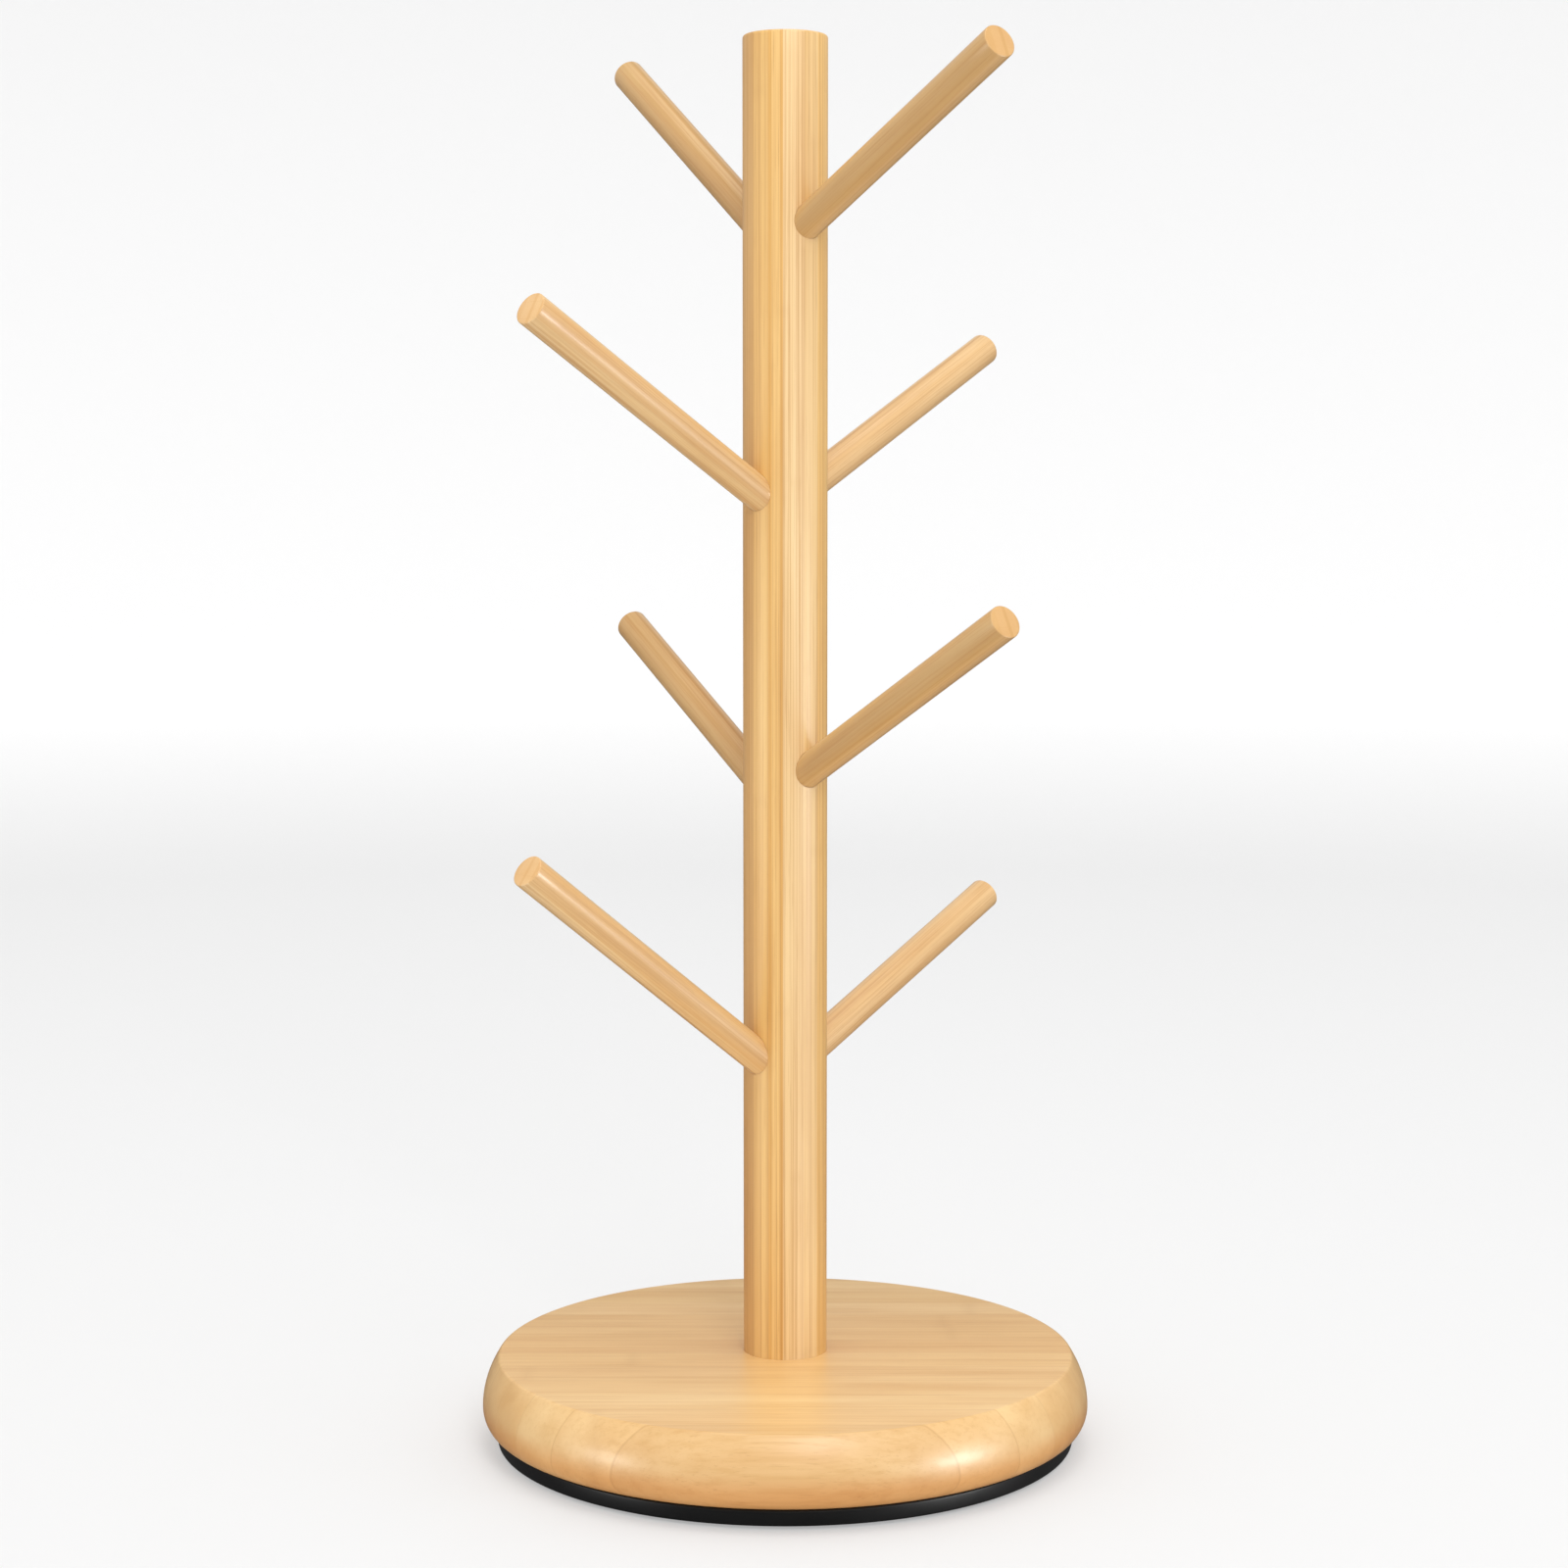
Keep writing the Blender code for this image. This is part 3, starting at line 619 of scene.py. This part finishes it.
def makeBallRing():
    look = ringShape
    ball = middle("ball_01")
    circle, height = ball.xy.length / mm, ball.z / mm
    facing, edge, flange = look["split"], look["edge"], look["flange"]

    rim, bottom, top = standing("outer_race")
    outline = [(circle + facing, bottom)] + grooveLine(circle, height, 1) + [
        (circle + facing, top), (look["outerWall"], top), (look["outerWall"], bottom + flange),
        (rim, bottom + flange), (rim, bottom)]
    rounds = [(look["outerWall"], top, edge), (rim, bottom + flange, edge), (rim, bottom, edge)]
    outer = addObject("outerRace", turned(outline, look["sides"], rounds))
    holes = bmesh.new()
    addScrewHoles(holes, "outer", look["screwHole"], bottom - overrun, bottom + flange + overrun,
                  look["screwSides"])
    cutAway(outer, holes)
    dress(outer, finish["zincSteel"], "outer_race")

    _, bottom, top = standing("inner_race")
    outline = [(circle - facing, bottom)] + grooveLine(circle, height, -1) + [
        (circle - facing, top), (look["innerRim"], top), (look["innerRim"], top - flange),
        (look["innerWall"], top - flange), (look["innerWall"], bottom)]
    rounds = [(look["innerWall"], bottom, edge), (look["innerRim"], top - flange, edge),
              (look["innerRim"], top, edge)]
    inner = addObject("innerRace", turned(outline, look["sides"], rounds))
    holes = bmesh.new()
    addScrewHoles(holes, "inner", look["screwHole"], top - flange - overrun, top + overrun,
                  look["screwSides"])
    cutAway(inner, holes)
    dress(inner, finish["zincSteel"], "inner_race")

    _, bottom, top = standing("ball_cage")
    inside, outside = circle - look["cageHalf"], circle + look["cageHalf"]
    outline = [(inside, bottom), (outside, bottom), (outside, top), (inside, top)]
    cage = addObject("ballCage", turned(outline, look["sides"]))
    pockets = bmesh.new()
    balls = [f"ball_{number:02d}" for number in ballNumbers]
    for node in balls:
        place = middle(node)
        turn = Matrix.Rotation(math.atan2(place.y, place.x), 4, "Z") @ Matrix.Rotation(math.pi / 2, 4, "Y")
        addCylinder(pockets, look["pocket"], look["pocketLength"], look["pocketSides"],
                    Matrix.Translation(place) @ turn)
    cutAway(cage, pockets)
    dress(cage, finish["whiteNylon"], "ball_cage")

    for node in balls:
        low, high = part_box(node)
        shape = bmesh.new()
        bmesh.ops.create_icosphere(shape, subdivisions=look["ballSplits"], radius=(high.z - low.z) / 2)
        bmesh.ops.translate(shape, verts=shape.verts, vec=(low + high) / 2)
        dress(addObject("bearingBall" + node[-2:], shape), finish["ballSteel"], node)


makeBallRing()
print("ball ring made")

# Screws, bolt, washer and insert (mm)
screwShape = {
    "sides": 40, "headHeight": 1.8, "edgeHeight": 0.7, "domeSteps": 6, "point": 1.2, "neck": 0.6,
    "crest": 1.45, "root": 1.05, "pitch": 1.1, "slotLong": 3.2, "slotWide": 0.75, "slotDeep": 1.0,
}
boltShape = {
    "sides": 64, "headHeight": 4.4, "headCurve": ((2.0, 0.0), (1.2, 0.5), (0.5, 1.6)),  # (in, up)
    "shank": 3.9, "plain": 16.0, "root": 3.3, "pitch": 1.25, "endLength": 0.6, "endIn": 0.5,
    "hex": 2.9, "hexDeep": 2.4, "hexSides": 6, "washerHole": 4.3, "washerArris": 0.3,
    "insertHole": 4.2, "insertRoot": 6.3, "insertPitch": 2.4,
}


def threadRun(start, end, crest, root, pitch):  # stacked ridges that read as a thread
    count = max(1, int(abs(end - start) / pitch))
    step = (end - start) / count
    run = []
    for ridge in range(count):
        run += [(root, start + step * ridge), (crest, start + step * (ridge + 0.5))]
    return run + [(root, end)]


def makeScrews():
    look = screwShape
    for race, sign in (("outer", 1), ("inner", -1)):  # sign is +1 where the head is up
        for number in screwNumbers:
            node = f"{race}_race_screw_{number}"
            low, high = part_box(node)
            head, tip = (high.z, low.z) if sign > 0 else (low.z, high.z)
            radius, length = (high.x - low.x) / 2 / mm, abs(head - tip) / mm
            under = length - look["headHeight"]
            edge = under + look["edgeHeight"]
            outline = [(0, 0)] + threadRun(look["point"], under - look["neck"], look["crest"], look["root"],
                                           look["pitch"])
            outline += [(look["crest"], under), (radius, under)]
            for step in range(look["domeSteps"]):
                angle = math.pi / 2 * step / look["domeSteps"]
                outline.append((radius * math.cos(angle), edge + (length - edge) * math.sin(angle)))
            outline.append((0, length))
            screw = addObject(f"{race}RaceScrew{number}", turned(outline, look["sides"]))
            for long, wide in ((look["slotLong"], look["slotWide"]), (look["slotWide"], look["slotLong"])):
                recess = bmesh.new()
                size = Matrix.Diagonal((long * mm, wide * mm, 2 * look["slotDeep"] * mm, 1))
                bmesh.ops.create_cube(recess, size=1, matrix=Matrix.Translation((0, 0, length * mm)) @ size)
                cutAway(screw, recess)
            place = (low + high) / 2
            turn = Matrix.Rotation(random.uniform(0, math.pi), 4, "Z")
            flip = Matrix.Identity(4) if sign > 0 else Matrix.Rotation(math.pi, 4, "X")
            screw.data.transform(Matrix.Translation((place.x, place.y, tip)) @ flip @ turn)
            dress(screw, finish["zincSteel"], node)


def makePostFixing():
    look = boltShape
    head, bottom, top = standing("post_bolt")
    under = bottom + look["headHeight"]
    outline = [(0, bottom)] + [(head - inset, bottom + up) for inset, up in look["headCurve"]]
    outline += [(head, under), (look["shank"], under), (look["shank"], under + look["plain"])]
    outline += threadRun(under + look["plain"], top - look["endLength"], look["shank"], look["root"],
                         look["pitch"])
    outline += [(look["root"] - look["endIn"], top), (0, top)]
    bolt = addObject("postBolt", turned(outline, look["sides"]))
    socket = bmesh.new()
    addUpright(socket, look["hex"], bottom - overrun, bottom + look["hexDeep"], look["hexSides"])
    cutAway(bolt, socket)
    dress(bolt, finish["zincSteel"], "post_bolt")

    radius, bottom, top = standing("bolt_washer")
    outline = [(look["washerHole"], bottom), (radius, bottom), (radius, top), (look["washerHole"], top)]
    rounds = [(radius, bottom, look["washerArris"]), (radius, top, look["washerArris"])]
    washer = addObject("boltWasher", turned(outline, look["sides"], rounds))
    dress(washer, finish["zincSteel"], "bolt_washer")

    radius, bottom, top = standing("threaded_insert")
    outline = [(look["insertHole"], bottom)]
    outline += threadRun(bottom, top, radius, look["insertRoot"], look["insertPitch"])
    outline.append((look["insertHole"], top))
    insert = addObject("threadedInsert", turned(outline, look["sides"]))
    dress(insert, finish["turnedBrass"], "threaded_insert")


makeScrews()
makePostFixing()
print("fixings made")

# Studio: a pale round sweep, open above, with soft lights round the object (metres). The sweep glows by
# itself, from the floor to the top of the curve, as (share of the curve's height, strength).
studio = {
    "floorRadius": 1.7, "sweep": 1.1, "curveSteps": 12, "height": 3.4, "sides": 96,
    "colour": "#B4B4B4", "roughness": 0.9, "specular": 0.1,
    "glow": ((0.0, 0.38), (0.1, 0.53), (1.0, 0.44)), "room": 1.05,
    "glossFrom": 0.35, "glossTo": 1.0, "lowGloss": 0.12, "highGloss": 0.5,
}
lights = {  # where each stands, its size and its power in watts; the sheen ones only make highlights
    "keyFront": {"place": (0.42, -1.6, 1.3), "size": (0.6, 0.6), "power": 9.0},
    "topSoft": {"place": (0.1, -0.2, 2.1), "size": (1.2, 1.2), "power": 9.0},
    "sheenLeft": {"place": (-1.25, -0.6, 0.09), "size": (0.4, 0.16), "power": 3.0},
    "sheenRight": {"place": (1.25, -0.6, 0.09), "size": (0.4, 0.16), "power": 7.5},
}
lightTarget = Vector((0, 0, 0.2))
view = {"place": (-0.0004, -0.992, 0.307), "down": 4.9, "lens": 68.6, "sensor": 36}  # down in degrees


def makeStage():
    reach, sweep, steps = studio["floorRadius"], studio["sweep"], studio["curveSteps"]
    points = [(0, 0), (reach, 0)]
    for step in range(1, steps + 1):
        angle = math.pi / 2 * step / steps
        points.append((reach + sweep * math.sin(angle), sweep * (1 - math.cos(angle))))
    points.append((reach + sweep, studio["height"]))
    shape = spun(points, studio["sides"], False, 0.1 * mm)
    floor = next(face for face in shape.faces if face.calc_center_median().z < mm)
    if floor.normal.z < 0:
        bmesh.ops.reverse_faces(shape, faces=shape.faces)
    stage = addObject("paleSweep", shape)
    stage.data.shade_smooth()
    material, tree, shader = newMaterial("matteSweep", Roughness=studio["roughness"],
                                         Specular_IOR_Level=studio["specular"])
    shader.inputs["Base Color"].default_value = hexColour(studio["colour"])
    shader.inputs["Emission Color"].default_value = hexColour("#FFFFFF")
    place = addNode(tree, "ShaderNodeTexCoord").outputs["Object"]
    height = addNode(tree, "ShaderNodeSeparateXYZ", {0: place}).outputs["Z"]
    risen = addNode(tree, "ShaderNodeMapRange",
                    {"Value": height, "From Min": 0.0, "From Max": sweep}).outputs[0]
    glow = setStops(addNode(tree, "ShaderNodeValToRGB", {"Fac": risen}),
                    [(share, (strength, strength, strength, 1)) for share, strength in studio["glow"]])
    tree.links.new(glow, shader.inputs["Emission Strength"])
    # the room looks dim in gloss, above all low down, so that only the lamps make highlights
    gloss = addNode(tree, "ShaderNodeLightPath").outputs["Is Glossy Ray"]
    seen = addNode(tree, "ShaderNodeMapRange",
                   {"Value": height, "From Min": studio["glossFrom"], "From Max": studio["glossTo"],
                    "To Min": studio["lowGloss"], "To Max": studio["highGloss"]}).outputs[0]
    dim = addNode(tree, "ShaderNodeEmission", {"Strength": seen}).outputs[0]
    mixed = addNode(tree, "ShaderNodeMixShader", {0: gloss, 1: shader.outputs[0], 2: dim}).outputs[0]
    tree.links.new(mixed, tree.nodes["Material Output"].inputs["Surface"])
    stage.data.materials.append(material)


def makeLights():
    world = bpy.data.worlds.new("paleRoom")
    bpy.context.scene.world = world
    world.use_nodes = True
    background = world.node_tree.nodes["Background"].inputs
    background["Color"].default_value = hexColour("#FFFFFF")
    background["Strength"].default_value = studio["room"]
    world.cycles_visibility.glossy = False
    for name, look in lights.items():
        lamp = bpy.data.lights.new(name, "AREA")
        lamp.shape = "RECTANGLE"
        lamp.size, lamp.size_y = look["size"]
        lamp.energy = look["power"]
        holder = bpy.data.objects.new(name, lamp)
        holder.location = look["place"]
        aim = lightTarget - Vector(look["place"])
        holder.rotation_euler = aim.to_track_quat("-Z", "Y").to_euler()
        holder.visible_camera = False
        holder.visible_diffuse = not name.startswith("sheen")
        bpy.context.scene.collection.objects.link(holder)


def makeCamera():
    camera = bpy.data.objects.new("camera", bpy.data.cameras.new("camera"))
    camera.data.lens = view["lens"]
    camera.data.sensor_width = view["sensor"]
    camera.location = view["place"]
    camera.rotation_euler = (math.radians(90 - view["down"]), 0, 0)
    bpy.context.scene.collection.objects.link(camera)
    bpy.context.scene.camera = camera
    bpy.context.scene.view_settings.view_transform = "Standard"


makeStage()
makeLights()
makeCamera()
print("studio ready")
